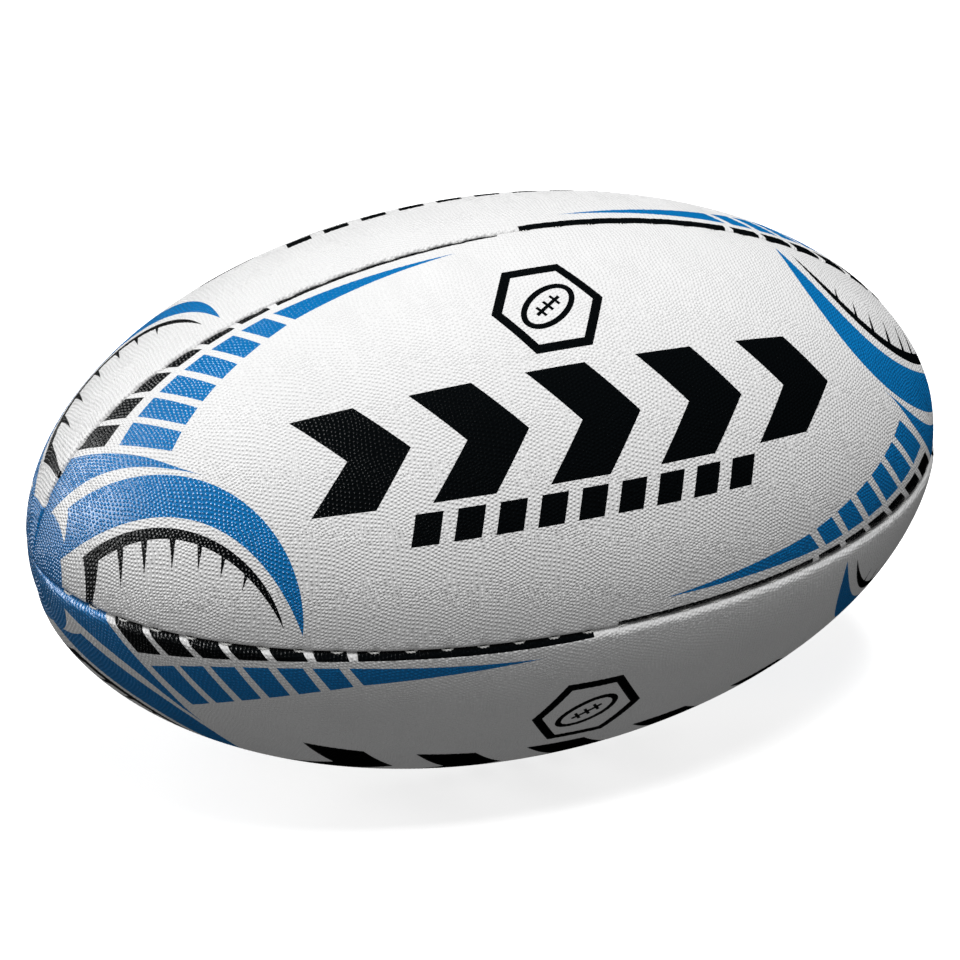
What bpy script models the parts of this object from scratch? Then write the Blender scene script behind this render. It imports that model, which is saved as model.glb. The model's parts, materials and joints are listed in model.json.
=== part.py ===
"""A size 5 rugby ball lying on its side.

Four rubber cover panels, each backed by three plies of polycotton, are sewn together edge to edge
with one waxed thread to each seam. The panels close over a butyl bladder with a push-in valve.

The long axis is X, up is +Z and the middle of the ball is the origin. Angles round the long axis
run from -Y (the front) through +Z (the top).
"""

import math

import bmesh
import bpy
from mathutils import Matrix, Vector

# The outside of the ball is an ellipsoid.
HALF_LENGTH = 0.150
HALF_GIRTH = 0.0885

# Every shell of the ball has the same facets, so that the gap between two layers stays even.
FACETS_ALONG = 18
FACETS_ROUND = 32

# The middle of the front panel, and the names of the four panels in turn round the long axis.
FRONT_PANEL_ANGLE = math.radians(37.5)
PANEL_NAMES = ("front", "top", "rear", "under")
QUARTER = math.pi / 2

# Layers, all measured inwards from the outside of the ball.
SKIN = 0.0010
AIR = 0.0003
PLY = 0.00035
PLIES = 3
FLANGE_DEPTH = 0.0060
BLADDER_DEPTH = 0.0066
BLADDER_WALL = 0.0010

# The turned-in edge of each panel stands this far from the plane of its seam.
SEAM_HALF_GAP = AIR / 2
FLANGE_FAR_FACE = SEAM_HALF_GAP + SKIN
PLY_EDGE = FLANGE_FAR_FACE + AIR

# Sewing: the thread crosses both flanges at each station, and runs along one side to the next.
STATIONS = 32
FIRST_STATION_ANGLE = math.radians(13)
SEAM_SAMPLES = 2000
THREAD_RADIUS = 0.0004
THREAD_DEPTH = 0.0047
THREAD_OUT = FLANGE_FAR_FACE + AIR + THREAD_RADIUS
KNOT_SWELLING = 1.7
KNOT_OUT = FLANGE_FAR_FACE + AIR + KNOT_SWELLING * THREAD_RADIUS
AWL_LONG = 0.0011
AWL_SHORT = 0.0009

# The valve, halfway along the rear panel and one facet in from its seam with the top panel.
VALVE_ANGLE = FRONT_PANEL_ANGLE + 1.5 * QUARTER + math.tau / FACETS_ROUND
VALVE_HOLE = 0.0045
VALVE_SIDES = 16
PATCH_DEPTH = 0.0046
PATCH_THICKNESS = 0.0008
PATCH_RADIUS = 0.0120
CUT_ABOVE_BALL = 0.004
CUT_BELOW_WALL = -0.016

# Far enough for a cutting box to pass right through the ball.
BOX_REACH = 0.2

# Every ply inwards is a little darker than the one before it.
PLY_DARKENING = 0.06

WHITE_RUBBER = (0.86, 0.87, 0.88)
COTTON = (0.78, 0.74, 0.64)
POLYESTER = (0.86, 0.84, 0.78)
BUTYL = (0.030, 0.030, 0.032)
VALVE_RUBBER = (0.060, 0.060, 0.065)
PLUG_RUBBER = (0.110, 0.112, 0.120)
CANVAS = (0.45, 0.43, 0.38)


def clear_scene():
    for obj in list(bpy.data.objects):
        bpy.data.objects.remove(obj, do_unlink=True)
    for collection in list(bpy.data.collections):
        bpy.data.collections.remove(collection)


def new_collection(name):
    collection = bpy.data.collections.new(name)
    bpy.context.scene.collection.children.link(collection)
    return collection


def material(name, colour, roughness):
    made = bpy.data.materials.new(name)
    made.use_nodes = True
    shader = made.node_tree.nodes["Principled BSDF"]
    shader.inputs["Base Color"].default_value = (*colour, 1.0)
    shader.inputs["Roughness"].default_value = roughness
    shader.inputs["Metallic"].default_value = 0.0
    made.diffuse_color = (*colour, 1.0)
    return made


def outward(angle):
    """The unit vector that points out of the ball at this angle round the long axis."""
    return Vector((0, -math.cos(angle), math.sin(angle)))


def seam_angle(panel):
    """The seam between this panel and the next one round."""
    return FRONT_PANEL_ANGLE + (panel + 0.5) * QUARTER


def mesh_object(name, bm, collection):
    bmesh.ops.recalc_face_normals(bm, faces=bm.faces)
    mesh = bpy.data.meshes.new(name)
    bm.to_mesh(mesh)
    bm.free()
    obj = bpy.data.objects.new(name, mesh)
    collection.objects.link(obj)
    return obj


def ellipsoid(name, depth, collection):
    """The ball's outside moved in by depth, with its poles on X and a line of facets on each seam."""
    bm = bmesh.new()
    bmesh.ops.create_uvsphere(
        bm, u_segments=FACETS_ROUND, v_segments=FACETS_ALONG, radius=1.0
    )
    to_long_axis = Matrix.Rotation(math.radians(90), 4, "Y")
    to_seams = Matrix.Rotation(-seam_angle(0), 4, "X")
    long_half = HALF_LENGTH - depth
    round_half = HALF_GIRTH - depth
    size = Matrix.Diagonal((long_half, round_half, round_half, 1.0))
    bmesh.ops.transform(bm, matrix=size @ to_seams @ to_long_axis, verts=bm.verts)
    return mesh_object(name, bm, collection)


def quarter_box(name, panel, inset):
    """The quarter of space that one panel fills, moved in by inset from both of its seam planes."""
    bm = bmesh.new()
    bmesh.ops.create_cube(bm, size=1.0)
    width = BOX_REACH - inset
    middle = inset + width / 2
    stretch = Matrix.Diagonal((2 * BOX_REACH, width, width, 1.0))
    move = Matrix.Translation((0, middle, middle))
    # The box starts between +Y and +Z, which is three eighths of a turn from the front.
    turn = FRONT_PANEL_ANGLE + panel * QUARTER - 1.5 * QUARTER
    rotate = Matrix.Rotation(-turn, 4, "X")
    bmesh.ops.transform(bm, matrix=rotate @ move @ stretch, verts=bm.verts)
    return mesh_object(name, bm, cutters)


def boolean(obj, cutter, operation):
    modifier = obj.modifiers.new(f"{operation.lower()}_{cutter.name}"[:60], "BOOLEAN")
    modifier.solver = "EXACT"
    modifier.operation = operation
    modifier.object = cutter


def finish_piece(obj, colour, roughness):
    obj.data.materials.clear()
    obj.data.materials.append(material(obj.name + "_material", colour, roughness))


def smooth(obj):
    for face in obj.data.polygons:
        face.use_smooth = True
    obj.data.set_sharp_from_angle(angle=math.radians(35))


def valve_frame():
    """Z points out of the ball through the middle of the valve, and z = 0 is the ball's outside."""
    out = outward(VALVE_ANGLE)
    turn = Vector((0, 0, 1)).rotation_difference(out).to_matrix().to_4x4()
    return Matrix.Translation(out * HALF_GIRTH) @ turn


def valve_cylinder(name, radius, top, bottom):
    bm = bmesh.new()
    move = Matrix.Translation((0, 0, (top + bottom) / 2))
    bmesh.ops.create_cone(
        bm,
        cap_ends=True,
        segments=VALVE_SIDES,
        radius1=radius,
        radius2=radius,
        depth=top - bottom,
        matrix=valve_frame() @ move,
    )
    return mesh_object(name, bm, cutters)


def station_point(seam, angle, depth):
    """A point in the plane of a seam, this far inside the ball."""
    along = (HALF_LENGTH - depth) * math.cos(angle)
    across = (HALF_GIRTH - depth) * math.sin(angle)
    return Vector((along, 0, 0)) + outward(seam) * across


def station_angles():
    """Angles whose points lie the same distance apart along a seam."""
    sweep = math.pi - 2 * FIRST_STATION_ANGLE
    angles = [FIRST_STATION_ANGLE + sweep * i / SEAM_SAMPLES for i in range(SEAM_SAMPLES + 1)]
    reached = [0.0]
    for before, after in zip(angles, angles[1:]):
        step = station_point(0, after, THREAD_DEPTH) - station_point(0, before, THREAD_DEPTH)
        reached.append(reached[-1] + step.length)
    found = []
    index = 0
    for station in range(STATIONS):
        wanted = reached[-1] * station / (STATIONS - 1)
        while index < SEAM_SAMPLES and reached[index] < wanted:
            index += 1
        found.append(angles[index])
    return found


def awl_holes(name, seam):
    """The diamond-shaped holes that the needle makes through the two flanges of a seam."""
    bm = bmesh.new()
    across = outward(seam + QUARTER)
    for angle in station_angles():
        middle = station_point(seam, angle, THREAD_DEPTH)
        nearby = station_point(seam, angle + 0.001, THREAD_DEPTH)
        along = (nearby - middle).normalized()
        inwards = across.cross(along)
        frame = Matrix((along, inwards, across)).transposed().to_4x4()
        size = Matrix.Diagonal((AWL_LONG, AWL_SHORT, 1.0, 1.0))
        bmesh.ops.create_cone(
            bm,
            cap_ends=True,
            segments=4,
            radius1=1.0,
            radius2=1.0,
            depth=2 * FLANGE_FAR_FACE + 4 * AIR,
            matrix=Matrix.Translation(middle) @ frame @ size,
        )
    return mesh_object(name, bm, cutters)


def cover_skin(panel, outside, below, flange_end, seam_holes):
    """A gore of the outside with its two long edges turned in towards the middle of the ball."""
    name = PANEL_NAMES[panel]
    skin = ellipsoid(f"cover_skin_{name}", 0.0, parts)
    smooth(skin)
    boolean(skin, outside, "INTERSECT")
    boolean(skin, below, "DIFFERENCE")
    boolean(skin, flange_end, "DIFFERENCE")
    for holes in seam_holes:
        boolean(skin, holes, "DIFFERENCE")
    finish_piece(skin, WHITE_RUBBER, 0.45)
    return skin


def backing_ply(panel, ply, edge):
    """One layer of polycotton, bonded inside the skin and ending at the turned-in edges."""
    top = SKIN + AIR + ply * (PLY + AIR)
    name = f"backing_ply_{ply + 1}_{PANEL_NAMES[panel]}"
    made = ellipsoid(name, top, parts)
    smooth(made)
    boolean(made, edge, "INTERSECT")
    boolean(made, ply_floors[ply], "DIFFERENCE")
    finish_piece(made, tuple(c * (1 - PLY_DARKENING * ply) for c in COTTON), 0.95)
    return made


def thread_route(panel):
    """Points, and how swollen the thread is at each: a knot, every crossing, and a second knot."""
    seam = seam_angle(panel)
    across = outward(seam + QUARTER)
    middles = [station_point(seam, angle, THREAD_DEPTH) for angle in station_angles()]
    knot = ((KNOT_OUT + THREAD_RADIUS, 0.5), (KNOT_OUT, KNOT_SWELLING), (FLANGE_FAR_FACE, 1.0))
    route = [(middles[0] + across * out, swelling) for out, swelling in knot]
    side = -1
    for before, after in zip(middles, middles[1:]):
        route.append((before + across * side * THREAD_OUT, 1.0))
        route.append((after + across * side * THREAD_OUT, 1.0))
        side = -side
    route += [(middles[-1] + across * side * out, swelling) for out, swelling in reversed(knot)]
    return route


def seam_thread(panel):
    """One thread that crosses the seam at every station and changes sides between them."""
    name = f"seam_thread_{PANEL_NAMES[panel]}_to_{PANEL_NAMES[(panel + 1) % 4]}"
    route = thread_route(panel)
    curve = bpy.data.curves.new(name, "CURVE")
    curve.dimensions = "3D"
    spline = curve.splines.new("POLY")
    spline.points.add(len(route) - 1)
    for spot, (point, swelling) in zip(spline.points, route):
        spot.co = (*point, 1.0)
        spot.radius = swelling
    curve.bevel_depth = THREAD_RADIUS
    curve.bevel_resolution = 1
    curve.use_fill_caps = True
    obj = bpy.data.objects.new(name, curve)
    parts.objects.link(obj)
    finish_piece(obj, POLYESTER, 0.6)


def turned(name, profile, colour, roughness):
    """A round valve piece from the profile of its right half, given as (radius, height)."""
    mesh = bpy.data.meshes.new(name)
    corners = [(radius, 0.0, height) for radius, height in profile]
    count = len(corners)
    edges = [(i, (i + 1) % count) for i in range(count)]
    mesh.from_pydata(corners, edges, [])
    obj = bpy.data.objects.new(name, mesh)
    parts.objects.link(obj)
    obj.matrix_world = valve_frame()
    screw = obj.modifiers.new("turn", "SCREW")
    screw.axis = "Z"
    screw.angle = math.tau
    screw.steps = VALVE_SIDES
    screw.render_steps = VALVE_SIDES
    screw.use_merge_vertices = True
    screw.merge_threshold = 0.00001
    shaped = obj.evaluated_get(bpy.context.evaluated_depsgraph_get())
    obj.data = bpy.data.meshes.new_from_object(shaped)
    obj.modifiers.clear()
    smooth(obj)
    finish_piece(obj, colour, roughness)


clear_scene()
parts = new_collection("rugby_ball")
cutters = new_collection("cutters")

flange_end = ellipsoid("cut_flange_end", FLANGE_DEPTH, cutters)
ply_floors = []
for ply in range(PLIES):
    bottom = SKIN + AIR + ply * (PLY + AIR) + PLY
    ply_floors.append(ellipsoid(f"cut_ply_floor_{ply + 1}", bottom, cutters))
seam_holes = [awl_holes(f"cut_awl_holes_{panel}", seam_angle(panel)) for panel in range(4)]

rear_pieces = []
for panel in range(4):
    outside = quarter_box(f"cut_skin_quarter_{panel}", panel, SEAM_HALF_GAP)
    hollow = quarter_box(f"cut_hollow_quarter_{panel}", panel, FLANGE_FAR_FACE)
    edge = quarter_box(f"cut_ply_quarter_{panel}", panel, PLY_EDGE)
    below = ellipsoid(f"cut_below_skin_{panel}", SKIN, cutters)
    boolean(below, hollow, "INTERSECT")
    both_seams = (seam_holes[panel], seam_holes[(panel - 1) % 4])
    skin = cover_skin(panel, outside, below, flange_end, both_seams)
    plies = [backing_ply(panel, ply, edge) for ply in range(PLIES)]
    if PANEL_NAMES[panel] == "rear":
        rear_pieces = [skin, *plies]
    seam_thread(panel)

# The bladder is one moulding with a hole for the valve.
bladder = ellipsoid("bladder", BLADDER_DEPTH, parts)
smooth(bladder)
boolean(bladder, ellipsoid("cut_bladder_inside", BLADDER_DEPTH + BLADDER_WALL, cutters), "DIFFERENCE")
finish_piece(bladder, BUTYL, 0.6)

# The patch spreads the pull of the valve over the backing plies.
patch = ellipsoid("valve_patch", PATCH_DEPTH, parts)
smooth(patch)
patch_floor = ellipsoid("cut_patch_floor", PATCH_DEPTH + PATCH_THICKNESS, cutters)
boolean(patch, valve_cylinder("cut_patch_edge", PATCH_RADIUS, CUT_ABOVE_BALL, CUT_BELOW_WALL), "INTERSECT")
boolean(patch, patch_floor, "DIFFERENCE")
finish_piece(patch, CANVAS, 0.9)

valve_hole = valve_cylinder("cut_valve_hole", VALVE_HOLE, CUT_ABOVE_BALL, CUT_BELOW_WALL)
for piece in (*rear_pieces, bladder, patch):
    boolean(piece, valve_hole, "DIFFERENCE")

# The housing comes up from inside the bladder, and its flange is bonded to the bladder's wall.
turned(
    "valve_housing",
    (
        (0.0033, -0.0006),
        (0.0041, -0.0006),
        (0.0041, -0.0090),
        (0.0085, -0.0090),
        (0.0085, -0.0098),
        (0.0040, -0.0104),
        (0.0034, -0.0165),
        (0.0014, -0.0165),
        (0.0014, -0.0155),
        (0.0023, -0.0150),
        (0.0023, -0.0022),
        (0.0033, -0.0022),
    ),
    VALVE_RUBBER,
    0.55,
)

# The plug fills the housing, and the pump's needle goes down the channel in its middle.
turned(
    "valve_plug",
    (
        (0.00055, -0.0008),
        (0.0030, -0.0008),
        (0.0030, -0.0019),
        (0.0020, -0.0019),
        (0.0020, -0.0146),
        (0.00055, -0.0146),
    ),
    PLUG_RUBBER,
    0.5,
)

for cutter in cutters.objects:
    cutter.hide_render = True
    cutter.display_type = "WIRE"
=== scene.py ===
"""How the rugby ball looks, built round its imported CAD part.

Each cover panel is laid out flat, in millimetres: s runs along the panel from its middle towards the
+X tip, and w runs across it from its centre line towards the next seam round. The pebbled skin and
its print are meshed there and then laid on the ball.
"""

import json
import math

import bmesh
import bpy
import numpy as np
from mathutils import Matrix, Vector
from mathutils.geometry import delaunay_2d_cdt
from mathutils.kdtree import KDTree


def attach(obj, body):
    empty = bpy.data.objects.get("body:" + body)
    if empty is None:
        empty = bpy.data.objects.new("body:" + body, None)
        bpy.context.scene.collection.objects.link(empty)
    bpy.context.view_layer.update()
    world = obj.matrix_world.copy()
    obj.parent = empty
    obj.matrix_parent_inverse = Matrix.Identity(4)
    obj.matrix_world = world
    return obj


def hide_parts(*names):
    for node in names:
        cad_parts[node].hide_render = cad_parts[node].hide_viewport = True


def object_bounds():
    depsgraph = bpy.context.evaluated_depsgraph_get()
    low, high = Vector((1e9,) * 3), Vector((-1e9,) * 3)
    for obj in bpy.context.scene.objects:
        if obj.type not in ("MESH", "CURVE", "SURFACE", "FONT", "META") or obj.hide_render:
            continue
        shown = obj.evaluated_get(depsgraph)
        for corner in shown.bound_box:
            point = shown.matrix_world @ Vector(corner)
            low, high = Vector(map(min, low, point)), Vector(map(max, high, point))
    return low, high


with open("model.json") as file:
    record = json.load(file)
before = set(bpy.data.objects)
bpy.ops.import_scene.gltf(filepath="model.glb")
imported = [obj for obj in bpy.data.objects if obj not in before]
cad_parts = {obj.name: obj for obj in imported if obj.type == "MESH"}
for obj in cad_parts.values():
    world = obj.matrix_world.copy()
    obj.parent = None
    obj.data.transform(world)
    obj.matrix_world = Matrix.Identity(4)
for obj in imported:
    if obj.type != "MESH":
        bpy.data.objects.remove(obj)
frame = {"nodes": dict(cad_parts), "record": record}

cad_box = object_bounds()

MM = 0.001

# The CAD ball is faceted, and its highest and lowest corners lie a third of a facet off the vertical.
FACET = math.tau / 32
HALF_LENGTH = (cad_box[1].x - cad_box[0].x) / 2 / MM
HALF_GIRTH = (cad_box[1].z - cad_box[0].z) / 2 / math.cos(FACET / 3) / MM

FRONT_PANEL_ANGLE = math.radians(37.5)
PANELS = ("front", "top", "rear", "under")
QUARTER = math.pi / 2

# The cover: how far each panel's edges rise beside a seam, how wide and how deep they roll down
# into it, how thick the skin is and how deep its edges are turned in. The rise and the roll shrink
# where the panel narrows to less than WIDE_PANEL from its centre line to its edge.
SEAM_GAP = 0.1
EDGE_RISE = {"front": -0.3, "top": -0.05, "rear": -0.3, "under": 0.55}
EDGE_ROLL = {"front": (1.1, 1.1), "top": (1.2, 1.0), "rear": (1.1, 1.1), "under": (2.6, 2.3)}
SHOULDER_ROWS = (0.06, 0.18, 0.4, 0.75)
EDGE_RISE_WIDTH = 15.0
WIDE_PANEL = 12.0
LEAST_TAPER = 0.12
SKIN = 0.9
DEEPEST_BACK = 0.95
FLANGE_END = 5.9
FOLD_SHARE = 0.25
MOST_MOVED_IN = 0.45
SMALLEST_HALF_WIDTH = 0.2
INNER_SPACING = 5.0

# The stitching, and the small pucker that every stitch pulls into the seam. A seam's stitches lie
# on the higher of its two panels, always the top or the under one, and STITCH_SUNK lowers them.
STATIONS = 32
FIRST_STATION_ANGLE = math.radians(13)
THREAD_DEPTH = 4.7
THREAD_SIDE = 1.85
STITCH_SUNK = {"top": 0.6, "under": 0.0}
STITCH_INSET = 0.4
STITCH = 3.6
STITCH_CORNER = 0.4
STITCH_DROP = 1.0
THREAD_CROSSING = 0.5
THREAD_RISES = 4.3
THREAD_STEP = 0.35
THREAD_FACETS = 8
TWIST_PITCH = 2.0
STRAND_OFFSET = 0.2
STRAND_RADIUS = 0.23
PUCKER = 0.32
PUCKER_LENGTH = 1.6
PUCKER_WIDTH = 1.8

# The pebbles, in a lattice that is stretched along the panel and drawn together across it: their
# pitch, the height that is modelled and the height that the shader adds.
PEBBLE_PITCH = 1.22
PEBBLE_HEIGHT = 0.1
LATTICE = PEBBLE_PITCH / math.sqrt(3)
GRAIN_STRETCH = np.array([1.13, 0.92])
TOP_JITTER = 0.15
LATTICE_MARGIN = 2.0
WARP_WAVES = 7
WARP_LENGTHS = (8.0, 24.0)
WARP = 0.6
PEBBLE_FADE = 1.6
NO_RIBS = 90.0
RIB_PITCH = 1.2
RIB_HEIGHT = 0.00005
PEBBLE_SHADER_HEIGHT = 0.00025
BORDER_CLEARANCE = 0.42 * LATTICE
OUTLINE_STEP = 0.7
PEBBLE_MAP = "from_pebble_top"
SEAM_MAP = "along_and_from_seam"
NO_PEBBLE = (1.5, 0.0)

VALVE_HOLE = 4.5
VALVE_SIDES = 64

WHITE, BLUE, BLACK = range(3)

PROFILE_SAMPLES = 4001
eccentric = np.linspace(0, math.pi, PROFILE_SAMPLES)


def arc_lengths(long_half, round_half):
    """The distance along the profile of an ellipsoid to each eccentric angle, from its middle."""
    speed = np.hypot(long_half * np.sin(eccentric), round_half * np.cos(eccentric))
    steps = (speed[1:] + speed[:-1]) / 2 * np.diff(eccentric)
    reached = np.concatenate([[0], np.cumsum(steps)])
    return reached - reached[-1] / 2


arc = arc_lengths(HALF_LENGTH, HALF_GIRTH)


def ring_radius(s):
    return HALF_GIRTH * np.sin(np.interp(s, arc, eccentric))


def half_width(s):
    return ring_radius(s) * math.pi / 4 - SEAM_GAP


def station_places():
    """Where the stitches are along a seam: equal steps along the thread's own line."""
    inner = arc_lengths(HALF_LENGTH - THREAD_DEPTH, HALF_GIRTH - THREAD_DEPTH)
    ends = np.interp([FIRST_STATION_ANGLE, math.pi - FIRST_STATION_ANGLE], eccentric, inner)
    angles = np.interp(np.linspace(*ends, STATIONS), inner, eccentric)
    return np.interp(angles, eccentric, arc)


stations = station_places()


def outward(angle):
    """The unit vector that points out of the ball at this angle round the long axis."""
    return Vector((0, -math.cos(angle), math.sin(angle)))


def laid_on_ball(s, w, depth, panel):
    """Points of the flat panel on the ball, in metres, this many millimetres below its outside."""
    angle_along = np.interp(s, arc, eccentric)
    radius = HALF_GIRTH * np.sin(angle_along)
    round_angle = FRONT_PANEL_ANGLE + panel * QUARTER + w / np.maximum(radius, 1e-6)
    normal_along = -np.cos(angle_along) / HALF_LENGTH
    normal_out = np.sin(angle_along) / HALF_GIRTH
    length = np.hypot(normal_along, normal_out)
    x = -HALF_LENGTH * np.cos(angle_along) - depth * normal_along / length
    out = radius - depth * normal_out / length
    return np.stack([x, -out * np.cos(round_angle), out * np.sin(round_angle)], axis=-1) * MM


def skin_depth(s, w, panel_name):
    """How far the skin lies below the ellipsoid.

    Both long edges roll over into the seam, and every stitch pulls them down a little. Some panels'
    edges stand above those of their neighbours, and roll over more gently.
    """
    half = half_width(s)
    inset = np.maximum(half - np.abs(w), 0)
    taper = np.clip(half / WIDE_PANEL, LEAST_TAPER, 1)
    width, drop = EDGE_ROLL[panel_name]
    roll = np.clip(1 - inset / (width * taper), 0, 1)
    shoulder = drop * taper * (1 - np.sqrt(1 - roll**2))
    rise = EDGE_RISE[panel_name] * taper * np.exp(-((inset / EDGE_RISE_WIDTH) ** 2))
    from_stitch = np.abs(s[:, None] - stations[None, :]).min(axis=1)
    pull = np.exp(-((from_stitch / PUCKER_LENGTH) ** 2)) * np.exp(-((inset / PUCKER_WIDTH) ** 2))
    return shoulder - rise + PUCKER * taper * pull


# Outlines of the print, flat on the panel.


def bezier(*controls):
    """A smooth curve from the first control point to the last, sampled every OUTLINE_STEP."""
    points = np.array(controls, float)
    degree = len(points) - 1
    span = np.linalg.norm(np.diff(points, axis=0), axis=1).sum()
    t = np.linspace(0, 1, max(2, int(span / OUTLINE_STEP)) + 1)[:, None]
    return sum(
        math.comb(degree, i) * (1 - t) ** (degree - i) * t**i * points[i] for i in range(degree + 1)
    )


def straight(*corners):
    """Straight runs through the corners, sampled every OUTLINE_STEP."""
    return joined(*(bezier(a, b) for a, b in zip(corners, corners[1:])))


def joined(*runs):
    """One line from several that meet end to end."""
    kept = [runs[0]]
    for run in runs[1:]:
        kept.append(run[1:] if np.allclose(run[0], kept[-1][-1]) else run)
    return np.concatenate(kept)


def closed(*corners):
    return straight(*corners, corners[0])


def oval(centre, radii, turn=0.0):
    around = math.tau * max(radii)
    t = np.linspace(0, math.tau, int(around / OUTLINE_STEP) + 1)
    x, y = radii[0] * np.cos(t), radii[1] * np.sin(t)
    c, d = math.cos(turn), math.sin(turn)
    return np.stack([centre[0] + c * x - d * y, centre[1] + d * x + c * y], axis=-1)


# Outlines that reach a seam or a tip run on past it, and the panel's edge cuts them off.
PAST_SEAM = 90.0
PAST_TIP = 200.0


def nose_and_crescents():
    """The blue tip, with the short and the long crescent that sweep out of it, as one outline."""
    short_outer = bezier((-113.8, 4.4), (-128.5, 12.6), (-125.8, 16.5), (-157, 27.5))
    nose = straight(
        (-157, 27.5), (-157, PAST_SEAM), (-PAST_TIP, PAST_SEAM), (-PAST_TIP, -PAST_SEAM),
        (-172, -PAST_SEAM), (-172, -14), (-171.2, -4.8),
    )
    long_inner = bezier((-171.2, -4.8), (-143.9, -0.7), (-108.2, 7.6), (-92, -50.4))
    long_outer = bezier((-92, -50.4), (-88.9, -16.8), (-111.5, 20.6), (-161.8, 9))
    notch = joined(
        bezier((-161.8, 9), (-163.5, 5), (-167.7, -1)),
        bezier((-167.7, -1), (-167, 6), (-169.5, 10.5)),
    )
    short_inner = bezier((-169.5, 10.5), (-146.1, 18.2), (-135.9, 16.6), (-113.8, 4.4))
    return joined(short_outer, nose, long_inner, long_outer, notch, short_inner)


INNER_ARC_OUTSIDE = ((-160.4, -6.8), (-121, 3.7), (-101, -24.8), (-97.5, -46.7))
INNER_ARC_INSIDE = ((-97.5, -46.7), (-110, -13), (-131, -4.5), (-154.5, -9.6))
TICKS = 6
TICK_PITCH = 9.0
TICK_OVERLAP = 0.8
TICK_WIDTH = 2.6
TICK_NARROWING = 0.25
TICK_LENGTH = 12.5
TICK_SHORTENING = 1.5
TICK_LEAN = 2.0


def inner_arc():
    """The thin black arc under the long crescent, turned down to the seam at its outer end."""
    end = straight((-154.5, -9.6), (-159.4, -24), (-161.5, -24), (-160.4, -6.8))
    return joined(bezier(*INNER_ARC_OUTSIDE), bezier(*INNER_ARC_INSIDE), end)


def arc_ticks():
    """Plain tapered ticks under the black arc, evenly spaced and shorter towards its thin end."""
    arc_line = bezier(*INNER_ARC_INSIDE)[::-1]
    along = np.linalg.norm(np.diff(arc_line, axis=0), axis=1).cumsum()
    ticks = []
    for i in range(TICKS):
        index = int(np.searchsorted(along, TICK_PITCH * (i + 1)))
        base = arc_line[index] + np.array([0, TICK_OVERLAP])
        width = TICK_WIDTH - TICK_NARROWING * i
        tip = base + (-TICK_LEAN, -(TICK_LENGTH - TICK_SHORTENING * i))
        ticks.append(closed(base - (width / 2, 0), base + (width / 2, 0), tip))
    return ticks


def at_s(curve, s):
    """The point of a curve at this s."""
    return (s, float(np.interp(s, curve[:, 0], curve[:, 1])))


def slanted_bars(outer, inner, outer_starts, inner_starts, outer_gaps, inner_gaps):
    """The band between two curves, cut into bars by slanted gaps."""
    bars = []
    for i in range(len(outer_starts) - 1):
        a = at_s(outer, outer_starts[i])
        b = at_s(outer, outer_starts[i + 1] - outer_gaps[i])
        c = at_s(inner, inner_starts[i + 1] - inner_gaps[i])
        d = at_s(inner, inner_starts[i])
        bars.append(closed(a, b, c, d))
    return bars


def blue_bars():
    """Six bars that grow longer and slimmer away from the tip, and end in a long spike."""
    tip = (-19.7, 62.4)
    outer = bezier((-137, 22.7), (-120, 40), (-82, 62), tip)
    inner = bezier((-122, 14.9), (-101.9, 38.4), (-57.2, 61.8), tip)
    i = np.arange(7)
    outer_starts = -137 + 8.6 * i + 0.2 * i**2
    inner_starts = -122 + 6.3 * i + 0.3 * i**2
    gaps = 1.9 + 0.2 * i
    bars = slanted_bars(outer, inner, outer_starts, inner_starts, gaps, gaps)
    last_outer = at_s(outer, outer_starts[-1])
    last_inner = at_s(inner, inner_starts[-1])
    spike = joined(
        straight(last_inner, last_outer),
        bezier(last_outer, (-52, 61.2), tip),
        bezier(tip, (-48, 58.4), last_inner),
    )
    return [*bars, spike]


SLIVER_END = (-4.0, 67.7)
BLACK_BARS = 6
BAR_PAST_SEAM = 6.0
BAR_INNER_GAP = 2.4


def black_bars():
    """Bars along the seam, and a last sliver that runs on almost to the middle of the panel."""
    inner = bezier((-144, 22.5), (-120, 42), (-86, 64.6), SLIVER_END)
    i = np.arange(BLACK_BARS + 1)
    outer_starts = -151 + 11.6 * i + 0.15 * i**2
    inner_starts = -141.7 + 9.8 * i + 0.2 * i**2
    bars = []
    for k in range(BLACK_BARS):
        start = outer_starts[k]
        end = outer_starts[k + 1] - 2.2 - 0.2 * k
        inner_end = inner_starts[k + 1] - BAR_INNER_GAP
        slant_a = inner_starts[k] - start
        slant_b = inner_end - end
        bars.append(
            closed(
                (start - slant_a * 0.5, half_width(start) + BAR_PAST_SEAM),
                (end - slant_b * 0.5, half_width(end) + BAR_PAST_SEAM),
                (end, half_width(end)),
                at_s(inner, inner_end),
                at_s(inner, inner_starts[k]),
                (start, half_width(start)),
            )
        )
    first = inner_starts[-1]
    run = inner[inner[:, 0] > first]
    sliver = joined(
        straight((first, PAST_SEAM), (outer_starts[-1], half_width(outer_starts[-1]))),
        straight((outer_starts[-1], half_width(outer_starts[-1])), at_s(inner, first)),
        np.vstack([at_s(inner, first), run]),
        straight(SLIVER_END, (SLIVER_END[0], PAST_SEAM), (first, PAST_SEAM)),
    )
    return [*bars, sliver]


CHEVRONS = 5
CHEVRON_START = -86.5
CHEVRON_PITCH = 35.6
CHEVRON_TOP = 13.4
CHEVRON_STROKE = 19.0
CHEVRON_POINT = 13.5
ROW_BOTTOM_AT_ENDS = -15.2
ROW_BOW = 5.8
ROW_HALF_LENGTH = 90.0


def row_bottom(s):
    """The lower edge of the row of chevrons, which bows away from its upper edge."""
    return ROW_BOTTOM_AT_ENDS - ROW_BOW * (1 - (s / ROW_HALF_LENGTH) ** 2)


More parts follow.
